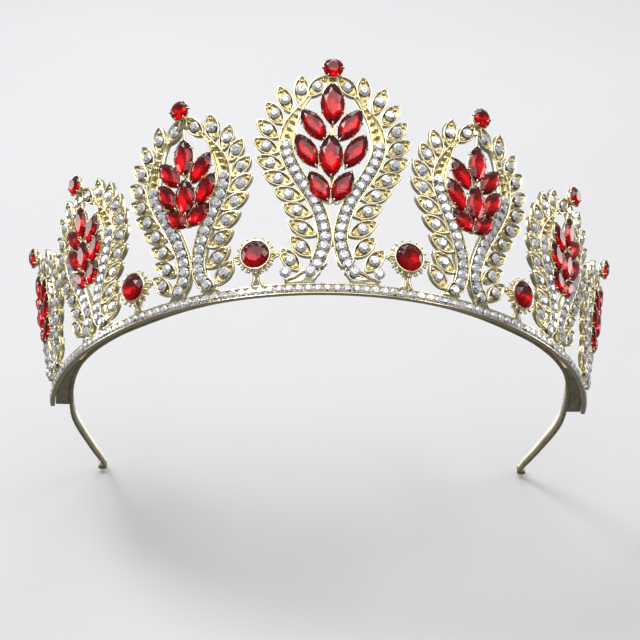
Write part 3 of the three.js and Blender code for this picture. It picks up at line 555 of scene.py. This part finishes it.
# ------------------------------------------------------------------ headband
def headband():
    s = Shape()
    inner = [(0, 74.0), (14, 74.0), (28, 74.0), (42, 74.0), (52, 73.9), (60, 73.4), (66, 72.5), (72, 71.45), (78.5, 70.6),
             (85.4, 70.2), (91, 70.0), (96.8, 69.7), (103.6, 69.8), (110.5, 70.8), (116, 72.2), (119.6, 73.7)]
    half = [(math.radians(a), r) for a, r in inner]
    plan = [(-a, r) for a, r in half[:0:-1]] + half
    pts = [(r * math.sin(a), -r * math.cos(a)) for a, r in plan]
    pos, tan, total = spline(pts, 260)
    # rolled ends: each tip curls outward round an upright hair-pin eye
    thick = 0.9

    def curl(p, t, sign):
        n_out = np.array([t[1], -t[0]]) * sign
        c = p + n_out * 1.35
        out = []
        for k in range(1, 25):
            a = math.radians(335) * k / 24
            d = -n_out * math.cos(a) + t * sign * 0 + t * math.sin(a)
            out.append(c + d * 0.98)
        return out
    n_out_end = np.array([tan[-1][1], -tan[-1][0]])
    start_out = np.array([tan[0][1], -tan[0][0]])
    mid = pos + np.stack([tan[:, 1], -tan[:, 0]], -1) * (thick / 2)
    end = [tuple(q) for q in curl(pos[-1], tan[-1], 1)]
    beg = []
    c = pos[0] + start_out * 1.35
    for k in range(1, 25):
        a = math.radians(335) * k / 24
        beg.append(c - start_out * 0.98 * math.cos(a) - tan[0] * 0.98 * math.sin(a))
    path = np.vstack([np.array(beg)[::-1], mid, np.array(end)])
    tg = np.gradient(path, axis=0)
    tg /= np.linalg.norm(tg, axis=1)[:, None]
    out = np.stack([tg[:, 1], -tg[:, 0]], -1)
    n = len(path)
    rings = []
    for i in range(n):
        k = i - 24
        t = min(max(k / (len(mid) - 1), 0), 1)
        q = abs(t - 0.5) * 2
        g = np.clip((q - 0.42) / 0.24, 0, 1); g = g * g * (3 - 2 * g)
        f = np.clip((q - 0.66) / 0.34, 0, 1); f = f * f * (3 - 2 * f)
        h = 2.8 + 1.2 * g - 1.3 * f
        over = max(0, -k, k - (len(mid) - 1))
        th = thick if over == 0 else max(0.58, thick - 0.12 * over)
        if over:
            h = 2.7
        near = min(abs(k), abs(k - (len(mid) - 1)))
        if over == 0 and near < 8:
            th = 0.6 + (thick - 0.6) * near / 8
        r = 0.16
        b = np.clip((q - 0.16) / 0.2, 0, 1)
        b = 0.7 * (1 - b * b * (3 - 2 * b)) + 0.03
        m_ = (b + h) / 2
        prof = [(-th / 2, b + r), (-th / 2 + r, b), (th / 2 - r, b), (th / 2, b + r), (th / 2, m_), (th / 2, h - r), (th / 2 - r, h - 0.01), (-th / 2 + r, h - 0.01), (-th / 2, h - r), (-th / 2, m_)]
        ring = [(path[i, 0] + out[i, 0] * x, CENTRE_Y + path[i, 1] + out[i, 1] * x, z) for x, z in prof]
        rings.append(np.array(ring) * MM)
    s.loft(rings, 0)
    # gussets that tie the legs to the rail's ends, with solder beads and fillets
    for side in (-1, 1):
        inner_edge = [(61, 73.9), (66, 73.2), (72, 72.2), (78, 71.4), (82.6, 71.0)]
        outer_edge = [(82.9, 75.1), (78, 75.3), (72, 75.3), (66, 75.3), (61, 75.3)]
        pts2 = []
        for a, r in inner_edge + outer_edge:
            q = math.radians(a) * side
            pts2.append((r * math.sin(q), -r * math.cos(q)))
        pts2 = np.array(pts2)
        dense = []
        for i in range(len(pts2)):
            a, b = pts2[i], pts2[(i + 1) % len(pts2)]
            k = max(1, int(np.linalg.norm(b - a) / 1.0))
            dense += [a + (b - a) * j / k for j in range(k)]
        o = np.array(dense)
        rings = []
        for z in (0.35, 0.42, 1.05, 1.15):
            k = 0.995 if z in (0.35, 1.15) else 1.0
            cc = o.mean(0)
            q = cc + (o - cc) * k
            rings.append(np.column_stack([q[:, 0], CENTRE_Y + q[:, 1], np.full(len(q), z)]) * MM)
        s.loft(rings, 0)
        for a, r, z, rad in ((79.5, 72.9, 0.30, 0.42), (74.0, 73.2, 0.32, 0.30)):
            q = math.radians(a) * side
            s.ball(on_band(q, r, z), rad, 1, np.diag([1.15, 1.0, 0.7]))
        for a in np.arange(10, 82, 6.0):
            q = math.radians(a) * side
            s.ball(on_band(q, 75.15, 1.1), 0.30, 1, np.diag([1.5, 1.0, 0.8]))
            s.ball(on_band(q, 75.15, 2.5), 0.26, 1, np.diag([1.5, 1.0, 0.7]))
    return build("headband_strip", s, [STRAP, SOLDER], ["headband"])


headband()


# ----------------------------------------------------------------------- rail
def rail():
    s = Shape()
    end = math.radians(RAIL_END)
    phi = np.linspace(-end, end, 220)
    H, I, O = RAIL_H, RAIL_IN, RAIL_OUT
    prof = [(I + 0.08, 0.0), (O - 0.14, 0.0), (O - 0.03, 0.04), (O, 0.10), (O, 0.27), (O - 0.05, 0.33), (O - 0.40, 0.36), (O - 0.45, 0.48),
            (O - 0.45, H - 0.48), (O - 0.40, H - 0.36), (O - 0.05, H - 0.33), (O, H - 0.27), (O, H - 0.10), (O - 0.03, H - 0.04), (O - 0.14, H), (I + 0.08, H), (I, H - 0.08), (I, 0.08)]
    recess = {5, 6, 7, 8, 9}
    mats = [1 if j in recess else 0 for j in range(len(prof))]
    rings = [on_band(np.full(len(prof), p), np.array([a for a, _ in prof]), np.array([b for _, b in prof])) for p in phi]
    s.loft(rings, 0, ring_mats=[mats] * (len(rings) - 1))
    # tiny grain beads that hold the stones, two to each gap
    stones = Shape()
    count = 94
    span = math.radians(RAIL_END - 0.75)
    step = 2 * span / (count - 1)
    for i in range(count):
        p = -span + i * step
        put_r = lambda x, y, w, p=p: _band_put(p, x, y, w)
        gem(stones, put_r, round_outline(1.15), 76.42, 0.42, 0.45, table=0.55)
        if i < count - 1:
            q = p + step / 2
            for z in (0.52, H - 0.52):
                s.ball(on_band(q, O - 0.10, z), 0.21, 0)
    for side in (-1, 1):
        s.ball(on_band(side * (end - 0.003), 75.9, H / 2), 1.0, 0, np.diag([0.6, 0.4, 1.3]))
    build("stone_rail_channel", s, [GOLD, RECESS], ["stone_rail"])
    build("rail_stones", stones, [CRYSTAL_PAINTED_LIGHT, SILVER_FOIL], ["rail_stone_row"])


def _band_put(p, x, y, w):
    """Local frame on the rail: x along it, y up, w the distance from the band's axis."""
    x, y, w = np.broadcast_arrays(np.asarray(x, float), np.asarray(y, float), np.asarray(w, float))
    er = np.array([math.sin(p), -math.cos(p), 0.0])
    et = np.array([math.cos(p), math.sin(p), 0.0])
    ez = np.array([0.0, 0.0, 1.0])
    o = np.array([0.0, CENTRE_Y, RAIL_H / 2])
    return (o + w[..., None] * er + x[..., None] * et + y[..., None] * ez) * MM


rail()


# --------------------------------------------------------------------- crests
def crest(name, kind, degrees):
    plan = PLANS[kind]
    az = math.radians(degrees)
    fr, arm_st, leaf_st = Shape(), Shape(), Shape()
    scale = plan["leaf"] / 8.1
    leaf_w = 4.15 * scale
    for side in (-1, 1):
        waist_v = min(plan["arm"], key=lambda p: p[0])[1]
        close = lambda v: 0.32 * math.exp(-((v - waist_v) / 3.2) ** 2)
        e0 = plan["arm"][-1]
        tail = [(e0[0] + 0.6, e0[1] - 0.6)] if kind == "center" else [(e0[0] + 0.42, e0[1] - 0.95), (e0[0] + 0.62, e0[1] - 1.75)]
        pts = [((u - close(v)) * side, v) for u, v in plan["arm"] + tail]
        pos, tan, total = spline(pts, 90)
        nrm = np.stack([tan[:, 1], -tan[:, 0]], -1)
        t = np.linspace(0, 1, len(pos))
        half = arm_half(t, plan["set_from"])
        rings = []
        for i in range(len(pos)):
            h = half[i]
            k = min(1.0, h / 0.75)
            prof = [(-h + 0.10 * k, 0.0), (-h, 0.14), (-h, 1.76), (-h + 0.04 * k, 1.90), (-h + 0.11 * k, 1.97), (-h + 0.31 * k, 1.97), (-h + 0.38 * k, 1.90), (-h + 0.41 * k, 1.34), (-h + 0.5 * k, 1.26),
                    (h - 0.5 * k, 1.26), (h - 0.41 * k, 1.34), (h - 0.38 * k, 1.90), (h - 0.31 * k, 1.97), (h - 0.11 * k, 1.97), (h - 0.04 * k, 1.90), (h, 1.76), (h, 0.14), (h - 0.10 * k, 0.0)]
            x = np.array([a for a, _ in prof])
            w = np.array([b for _, b in prof])
            rings.append(flare(az, pos[i, 0] + nrm[i, 0] * x, pos[i, 1] + nrm[i, 1] * x, w))
        mats = [1 if 7 <= j <= 9 else 0 for j in range(18)]
        if kind == "center":
            rings = rings[:next(i for i in range(len(pos)) if i > 45 and pos[i, 1] < 7.0) + 1]
        fr.loft(rings, 0, ring_mats=[mats] * (len(rings) - 1))

        # round stones along the arm, then a few beads up its narrow top
        start, stop = plan["set_from"] + 0.02, 1.0
        length = total * (stop - start)
        count = int(round(length / 2.52))
        for i in range(count):
            q = start + (stop - start) * (i + 0.5) / count
            u, v = np.interp(q, t, pos[:, 0]), np.interp(q, t, pos[:, 1])
            du, dv = np.interp(q, t, tan[:, 0]), np.interp(q, t, tan[:, 1])
            r = min(1.38, np.interp(q, t, half) - 0.38)
            put = seat(az, u, v, math.degrees(math.atan2(du, dv)) + rng.uniform(-20, 20))
            gem(arm_st, put, round_outline(r), 1.86, 0.50, 0.6, table=0.54)
            if i:
                qq = start + (stop - start) * i / count
                u2, v2 = np.interp(qq, t, pos[:, 0]), np.interp(qq, t, pos[:, 1])
                nu, nv = np.interp(qq, t, nrm[:, 0]), np.interp(qq, t, nrm[:, 1])
                hh = np.interp(qq, t, half) - 0.62
                for sg in (-1, 1):
                    fr.ball(flare(az, u2 + nu * hh * sg, v2 + nv * hh * sg, 1.78), 0.23, 0)
        q, k = start - 1.5 / total, 0
        while q > 0.05 and k < 5:
            u, v = np.interp(q, t, pos[:, 0]), np.interp(q, t, pos[:, 1])
            r = max(0.22, min(0.62, (np.interp(q, t, half) - 0.3) * 0.85))
            fr.ball(flare(az, u, v, 1.45 + r * 0.35), r, 0)
            q -= (2.6 * r + 0.35) / total
            k += 1

        # leaf cells
        for lu, lv, tilt in plan["leaves"]:
            a = math.radians(tilt)
            du, dv = math.sin(a), math.cos(a)
            L = plan["leaf"]
            tip = np.array([(lu + du * L / 2) * side, lv + dv * L / 2])
            base0 = np.array([(lu - du * L / 2) * side, lv - dv * L / 2])
            d = np.linalg.norm(pos - base0, axis=1)
            j = int(d.argmin())
            reach = max(half[j] - 0.12, 0.1)
            base = pos[j] + (base0 - pos[j]) * reach / max(d[j], 1e-6)
            c = (tip + base) / 2
            length_ = float(np.linalg.norm(tip - base))
            angle = math.degrees(math.atan2(tip[0] - base[0], tip[1] - base[1]))
            put = seat(az, c[0], c[1], angle)
            leaf_cell(fr, put, length_, leaf_w)
            put_st = seat(az, c[0] , c[1], angle + rng.uniform(-25, 25))
            gem(leaf_st, put_st, round_outline(1.45 * scale), 1.78, 0.52, 0.5, table=0.54)
            for x, rr in ((length_ * 0.5 - 1.78 * scale, 0.52), (-(length_ * 0.5 - 1.78 * scale), 0.46)):
                fr.ball(put(x, 0.0, 1.42), rr * scale, 0)
            for x in (length_ * 0.5 - 0.98 * scale, -(length_ * 0.5 - 0.98 * scale)):
                fr.ball(put(x, 0.0, 1.38), 0.27 * scale, 0)

        # foot: in the middle crest the two rims part and sweep out onto the rail over a polished plate
        if kind == "center":
            i0 = len(rings) - 1
            ends = {1: [(7.0, 5.2), (9.2, 3.8), (11.6, 2.95)], -1: [(3.0, 5.4), (3.7, 4.2), (4.5, 2.9)]}
            curves = []
            for sg, more in ends.items():
                lead = [pos[i] * (side, 1) + nrm[i] * (side, 1) * sg * side * (half[i] - 0.2) for i in (i0 - 9, i0 - 5, i0 - 1)]
                curve, _, _ = spline([tuple(q) for q in lead] + more, 26)
                curve = curve * (side, 1)
                bar(fr, az, curve, 0.19, 0.15, 1.97)
                curves.append(curve)
            o1, o2 = curves[0][8:], curves[1][8:]
            pad(fr, az, [tuple(q) for q in o1[::3]] + [(o1[-1][0], FOOT_V - 0.2), (o2[-1][0], FOOT_V - 0.2)] + [tuple(q) for q in o2[::-3]], 0.12, 1.26, 0.1)
        else:
            e = pts[-1]
            pad(fr, az, [(e[0] - 1.5 * side, FOOT_V - 0.3), (e[0] + 2.7 * side, FOOT_V - 0.3), (e[0] + 2.4 * side, FOOT_V + 0.45), (e[0] + 1.5 * side, FOOT_V + 1.3), (e[0] - 1.2 * side, FOOT_V + 0.6)], 0.15, 1.25, 0.14)
        # clear stone beside the foot, in a small scroll
        if kind == "center":
            rs = 1.46
            put = seat(az, 11.3 * side, 4.95, rng.uniform(0, 40))
            gem(leaf_st, put, round_outline(rs), 1.9, 0.55, 0.75, table=0.54)
            fr.lathe(put, [(0, 0.4), (0.7, 0.4), (rs - 0.3, 0.9), (rs - 0.12, 1.6), (rs - 0.3, 1.6), (0.5, 1.1), (0, 1.1)], 20)
            fr.tube(flare(az, np.array([11.2, 11.1, 10.9]) * side, np.array([4.2, 3.4, 2.7]), np.array([0.9, 0.9, 0.9])), 0.42, 8)
    # waist joint: the two arms run together in a bead of solder
    waist = min(plan["arm"], key=lambda p: p[0])[1]
    for dv, r in ((0.0, 0.55), (0.9, 0.42), (-0.9, 0.42), (1.7, 0.3), (-1.7, 0.3)):
        fr.ball(flare(az, 0.0, waist + dv, 1.15), r, 0, np.eye(3) * 1.25)
    pad(fr, az, [(-0.9, waist - 2.2), (0.9, waist - 2.2), (0.9, waist + 2.2), (-0.9, waist + 2.2)], 0.05, 0.7)
    build(f"crest_frame_{name}_cast", fr, [GOLD, RECESS], [f"crest_frame_{name}"])
    build(f"arm_stones_{name}", arm_st, [CRYSTAL_PAINTED_LIGHT, SILVER_FOIL], [f"arm_stone_rows_{name}"])
    build(f"leaf_stones_{name}", leaf_st, [CRYSTAL_PAINTED_LIGHT, SILVER_FOIL], ())

    # spray: claw cups on a common spine
    st = Shape()
    sprays = []
    for label, u, v, tilt, length, width in plan["stones"]:
        for side in ([1] if u == 0 else [-1, 1]):
            shift = SPRAY_LEAN.get((label, side if u else 0), 0.0) if kind == "center" else 0.0
            put = seat(az, u * side + shift, v, tilt * side)
            n = 32
            length, width = length + 0.05, width + 0.05
            up = {"top": 0.30, "middle": 0.42}.get(label, 0.0) - (0.12 if label == "lower" else 0.0) - LEVEL
            rings = []
            for d, w in ((0.75, 1.75 + up * 0.3), (0.38, 1.85 + up * 0.3), (0.14, 2.5 + up * 0.6), (-0.02, 3.3 + up), (-0.06, 3.62 + up), (0.0, 3.72 + up), (0.09, 3.68 + up), (0.14, 3.4 + up), (0.4, 2.95 + up), (0.9, 2.85 + up)):
                x, y = vesica_ring(length, width, d, n)
                rings.append(put(x, y, np.full(len(x), w)))
            st.loft(rings, 0, ring_mats=[0] * 7 + [1, 1], cap_mats=(0, 1))
            claws = [(length / 2 + 0.05, 0.0, 1), (-length / 2 - 0.05, 0.0, 1)]
            for sx in (-1, 1):
                for sy in (-1, 1):
                    xx = sx * length * 0.20
                    b = width / 2
                    a_ = length / 2
                    R = (a_ * a_ + b * b) / (2 * b)
                    yy = math.sqrt(R * R - xx * xx) - (R - b)
                    claws.append((xx, sy * (yy + 0.08), 0))
            for x, y, tipc in claws:
                inn = 0.84 if tipc else 0.86
                path = put(np.array([x, x * 1.0, x * 0.985, x * (inn if tipc else 0.97)]),
                           np.array([y, y * 1.0, y * 0.97, y * inn]), np.array([3.0, 3.6, 3.94, 4.16]) + up)
                st.tube(path, np.array([0.22, 0.22, 0.21, 0.14]) * (1.1 if tipc else 0.8), 8)
            word = label if u == 0 else f"{label}_{'left' if side < 0 else 'right'}"
            sprays.append((word, put, length, width, up))
    tip = plan["stones"][0][2] + plan["stones"][0][4] / 2
    root_v = plan["stem"] + 1.7
    pad(st, az, [(-0.6, root_v), (0.6, root_v), (0.6, tip - 1.0), (-0.6, tip - 1.0)], 1.35, 1.8)
    sd, upp = plan["stones"][3], plan["stones"][2]
    for v in (sd[2] - 2.6, upp[2] - 2.2, plan["stones"][4][2] - 1.0):
        pad(st, az, [(-3.4, v - 0.45), (3.4, v - 0.45), (3.4, v + 0.45), (-3.4, v + 0.45)], 1.35, 1.8)
    low = plan["stones"][4]
    foot_v = low[2] - (low[4] / 2) * math.cos(math.radians(low[3]))
    if kind == "center":
        for side in (-1, 1):
            path, _, _ = spline([(0.0, foot_v + 1.0), (side * 0.7, foot_v - 0.4), (side * 2.2, foot_v + 0.3)], 10)
            st.tube(flare(az, path[:, 0], path[:, 1], np.linspace(2.1, 1.8, 10)), 0.26, 8)
    else:
        st.ball(flare(az, 0.0, foot_v + 0.9, 1.9), 0.45, 0)
    # tab between the spray's top stone and the finial
    top = plan["top"] - 2.2
    path = flare(az, np.zeros(8), np.linspace(tip - 1.2, max(top, tip), 8), np.linspace(1.75, 1.95, 8))
    st.tube(path, np.linspace(0.42, 0.34, 8), 8)
    build(f"spray_setting_{name}_claws", st, [GOLD, RECESS], [f"spray_setting_{name}"])
    if kind == "center":
        for word, put, length, width, up in sprays:
            s = Shape()
            gem(s, put, vesica_outline(length, width), 3.75 + up, 1.02, 1.0, table=0.56, mid=0.80, mid_h=0.62, pav=0.6, lean=0.02)
            build(f"ruby_navette_{word}_center", s, [RUBY, RED_FOIL], [f"navette_{word}_center"])
    else:
        s = Shape()
        for word, put, length, width, up in sprays:
            gem(s, put, vesica_outline(length, width), 3.75 + up, 0.95, 0.95, table=0.56, mid=0.80, mid_h=0.62, pav=0.6, lean=0.02)
        build(f"ruby_navettes_{name}", s, [RUBY, RED_FOIL], [f"navette_spray_{name}"])

    # finial
    s = Shape()
    put = seat(az, 0.0, plan["top"], 0.0)
    s.lathe(put, [(0, 2.05), (1.4, 2.05), (2.1, 2.35), (2.5, 2.9), (2.68, 3.4), (2.72, 3.7), (2.66, 3.82), (2.56, 3.84), (2.46, 3.76), (2.4, 3.5), (2.2, 3.0), (1.0, 2.7), (0, 2.7)], 40,
            mats=[0] * 8 + [1, 1])
    for k in range(6):
        a = math.radians(60 * k + 30)
        x, y = np.cos(a), np.sin(a)
        path = put(np.array([2.66, 2.74, 2.6, 2.3]) * x, np.array([2.66, 2.74, 2.6, 2.3]) * y, np.array([3.4, 3.9, 4.14, 4.3]))
        s.tube(path, np.array([0.24, 0.24, 0.21, 0.15]), 8)
    pad(s, az, [(-1.3, plan["top"] - 4.6), (1.3, plan["top"] - 4.6), (1.0, plan["top"] - 2.0), (-1.0, plan["top"] - 2.0)], 1.85, 2.35)
    build(f"finial_cup_{name}_claws", s, [GOLD, RECESS], [f"finial_cup_{name}"])
    s = Shape()
    gem(s, put, round_outline(2.62), 3.9, 1.0, 1.05, table=0.54, lean=0.02)
    build(f"finial_ruby_{name}", s, [RUBY, RED_FOIL], [f"finial_stone_{name}"])


for c in CRESTS:
    crest(*c)


# ----------------------------------------------------------------------- suns
def sun(name, degrees, v):
    az = math.radians(degrees)
    s = Shape()
    put = seat(az, 0.0, v, 0.0)
    s.lathe(put, [(0, 0.95), (2.6, 0.95), (3.4, 1.1), (3.76, 1.5), (3.90, 2.1), (3.94, 2.80), (3.90, 2.96), (3.84, 3.03), (3.56, 3.03), (3.50, 2.96), (3.46, 2.3), (2.9, 1.8), (0, 1.8)], 64,
            mats=[0] * 9 + [1, 1])
    for k in range(16):
        for w, off, r1, rb in ((2.30, 0.0, 4.56, 0.42), (1.40, 0.5, 4.45, 0.38)):
            a = 2 * math.pi * (k + off) / 16
            x, y = math.cos(a), math.sin(a)
            rr = np.array([3.7, 4.05, r1])
            s.tube(put(rr * x, rr * y, np.array([w - 0.1, w, w])), np.array([0.46, 0.33, 0.22]), 7)
            s.ball(put(np.array(r1 * x), np.array(r1 * y), np.array(w)), rb, 0)
    # slim forked post from the rail, and a bow-shaped tab each side towards the neighbouring leaves
    for side in (-1, 1):
        path, _, _ = spline([(side * 1.35, FOOT_V - 0.25), (side * 0.95, FOOT_V + 0.7), (side * 0.72, (FOOT_V + v - 3.6) / 2 + 0.3), (side * 1.0, v - 3.7), (side * 1.6, v - 3.1)], 18)
        s.tube(flare(az, path[:, 0], path[:, 1], np.full(18, 1.0)), np.linspace(0.40, 0.36, 18), 8)
    pad(s, az, [(-1.3, FOOT_V - 0.3), (1.3, FOOT_V - 0.3), (0.85, FOOT_V + 0.7), (0.7, v - 3.8), (1.2, v - 3.2), (-1.2, v - 3.2), (-0.7, v - 3.8), (-0.85, FOOT_V + 0.7)], 0.45, 1.05, 0.14)
    for side in (-1, 1):
        for dv in (-0.5, 0.5):
            path, _, _ = spline([(side * 4.0, v + 0.5 * dv), (side * 4.7, v + dv * 1.2), (side * 5.5, v + 0.3 * dv)], 8)
            s.tube(flare(az, path[:, 0], path[:, 1], np.full(8, 1.45)), 0.30, 7)
        s.ball(flare(az, side * 4.75, v, 1.5), 0.42, 0)
    build(f"sun_bezel_{name}_rays", s, [GOLD, RECESS], [f"sun_bezel_{name}"])
    s = Shape()
    gem(s, put, round_outline(3.48), 2.92, 1.10, 1.0, table=0.58, lean=0.02)
    build(f"sun_ruby_{name}", s, [RUBY, RED_FOIL], [f"sun_stone_{name}"])


for c in SUNS:
    sun(*c)


# --------------------------------------------------------------------- studio
def camera():
    el, az, roll = math.radians(-28.286), math.radians(-2.75), math.radians(-0.277)
    back = Vector((math.sin(az) * math.cos(el), -math.cos(az) * math.cos(el), math.sin(el)))
    fwd = -back
    right = fwd.cross(Vector((0, 0, 1))).normalized()
    up = right.cross(fwd)
    r2 = right * math.cos(roll) + up * math.sin(roll)
    u2 = -right * math.sin(roll) + up * math.cos(roll)
    target = r2 * 0.451 + u2 * 29.06
    loc = (target + back * 414.80 + Vector((0, CENTRE_Y, FLARE_Z))) * MM
    cam = bpy.data.cameras.new("camera")
    cam.sensor_width = 36
    cam.lens = 1431.8 / 640 * 36
    cam.clip_start = 0.01
    cam.clip_end = 20
    ob = bpy.data.objects.new("camera", cam)
    bpy.context.scene.collection.objects.link(ob)
    m = Matrix((r2, u2, back)).transposed().to_4x4()
    m.translation = loc
    ob.matrix_world = m
    bpy.context.scene.camera = ob
    return ob


camera()


def one_sided(name, colour):
    """Plain pale sweep that only shows on the side that faces the object."""
    m, nt, b = new_material(name)
    L = nt.links.new
    tex = node(nt, "ShaderNodeTexCoord")
    n = node(nt, "ShaderNodeTexNoise", Scale=6.0, Detail=4.0)
    L(tex.outputs["Object"], n.inputs["Vector"])
    L(ramp(nt, n.outputs["Fac"], [(0.3, tuple(c * 0.97 for c in colour)), (0.7, colour)]), b.inputs["Base Color"])
    b.inputs["Roughness"].default_value = 0.75
    geo = node(nt, "ShaderNodeNewGeometry")
    tr = node(nt, "ShaderNodeBsdfTransparent")
    mix = node(nt, "ShaderNodeMixShader")
    out = nt.nodes["Material Output"]
    far = node(nt, "ShaderNodeVectorMath", operation="LENGTH")
    L(tex.outputs["Object"], far.inputs[0])
    fade = node(nt, "ShaderNodeMapRange", interpolation_type="SMOOTHSTEP")
    fade.inputs["From Min"].default_value = 0.36
    fade.inputs["From Max"].default_value = 0.70
    L(far.outputs["Value"], fade.inputs["Value"])
    most = node(nt, "ShaderNodeMath", operation="MAXIMUM")
    L(geo.outputs["Backfacing"], most.inputs[0])
    L(fade.outputs["Result"], most.inputs[1])
    L(most.outputs[0], mix.inputs["Fac"])
    L(b.outputs["BSDF"], mix.inputs[1])
    L(tr.outputs["BSDF"], mix.inputs[2])
    L(mix.outputs["Shader"], out.inputs["Surface"])
    return m


def plane(name, corners, mat):
    me = bpy.data.meshes.new(name)
    me.from_pydata(corners, [], [[0, 1, 2, 3]])
    me.materials.append(mat)
    me.update()
    ob = bpy.data.objects.new(name, me)
    bpy.context.scene.collection.objects.link(ob)
    ob.visible_glossy = False
    ob.visible_transmission = False
    ob.visible_shadow = False
    ob.visible_diffuse = False
    return ob


PALE = (0.73, 0.73, 0.74)
floor = plane("floor", [(-2, -2, 0), (2, -2, 0), (2, 2, 0), (-2, 2, 0)], one_sided("floor_pale", PALE))
tilt = math.radians(62)
y0 = 0.0650
d = Vector((0, math.cos(tilt), math.sin(tilt)))
low, high = Vector((0, y0, 0)) - d * 1.5, Vector((0, y0, 0)) + d * 2.5
back = plane("sweep", [(-2, low.y, low.z), (2, low.y, low.z), (2, high.y, high.z), (-2, high.y, high.z)], one_sided("sweep_pale", PALE))


def area(name, az, el, dist, size, power, colour=(1, 1, 1), target=(0, -0.02, 0.03)):
    a, e = math.radians(az), math.radians(el)
    p = Vector((math.sin(a) * math.cos(e), -math.cos(a) * math.cos(e), math.sin(e))) * dist + Vector(target)
    li = bpy.data.lights.new(name, "AREA")
    li.shape = "RECTANGLE"
    li.size, li.size_y = size
    li.energy = power
    li.color = colour
    ob = bpy.data.objects.new(name, li)
    bpy.context.scene.collection.objects.link(ob)
    ob.visible_camera = False
    ob.location = p
    ob.rotation_euler = (Vector(target) - p).to_track_quat("-Z", "Y").to_euler()
    return ob


area("key", -34, 36, 0.8, (0.30, 0.30), 2.4)
area("front", -4, 19, 0.8, (0.84, 0.50), 2.2)
area("fill", 44, 20, 0.9, (0.20, 0.5), 1.2)
area("front_low", 2, -16, 0.9, (0.7, 0.14), 0.50)
area("top", 10, 80, 0.8, (0.5, 0.5), 2.2)
area("side_left", -98, 16, 0.8, (0.22, 0.5), 1.3)
area("side_right", 102, 18, 0.8, (0.22, 0.5), 1.3)
area("back", 180, 34, 0.9, (0.7, 0.3), 1.6)

world = bpy.data.worlds.new("studio")
bpy.context.scene.world = world
world.use_nodes = True
wn = world.node_tree
bg = wn.nodes["Background"]
tc = wn.nodes.new("ShaderNodeTexCoord")
sep = wn.nodes.new("ShaderNodeSeparateXYZ")
wn.links.new(tc.outputs["Generated"], sep.inputs[0])
wr = wn.nodes.new("ShaderNodeValToRGB")
el = wr.color_ramp.elements
el[0].position, el[0].color = 0.0, (0.12, 0.12, 0.125, 1)
el[1].position, el[1].color = 1.0, (0.38, 0.38, 0.40, 1)
mr = wn.nodes.new("ShaderNodeMapRange")
mr.inputs["From Min"].default_value = -0.3
mr.inputs["From Max"].default_value = 0.9
wn.links.new(sep.outputs["Z"], mr.inputs["Value"])
wn.links.new(mr.outputs["Result"], wr.inputs["Fac"])
lp = wn.nodes.new("ShaderNodeLightPath")
mx = wn.nodes.new("ShaderNodeMix")
mx.data_type = "RGBA"
wn.links.new(lp.outputs["Is Camera Ray"], mx.inputs["Factor"])
wn.links.new(wr.outputs["Color"], mx.inputs[6])
mx.inputs[7].default_value = (0.78, 0.78, 0.79, 1)
wn.links.new(mx.outputs[2], bg.inputs["Color"])
bg.inputs["Strength"].default_value = 1.0
bpy.context.scene.view_settings.view_transform = "Standard"
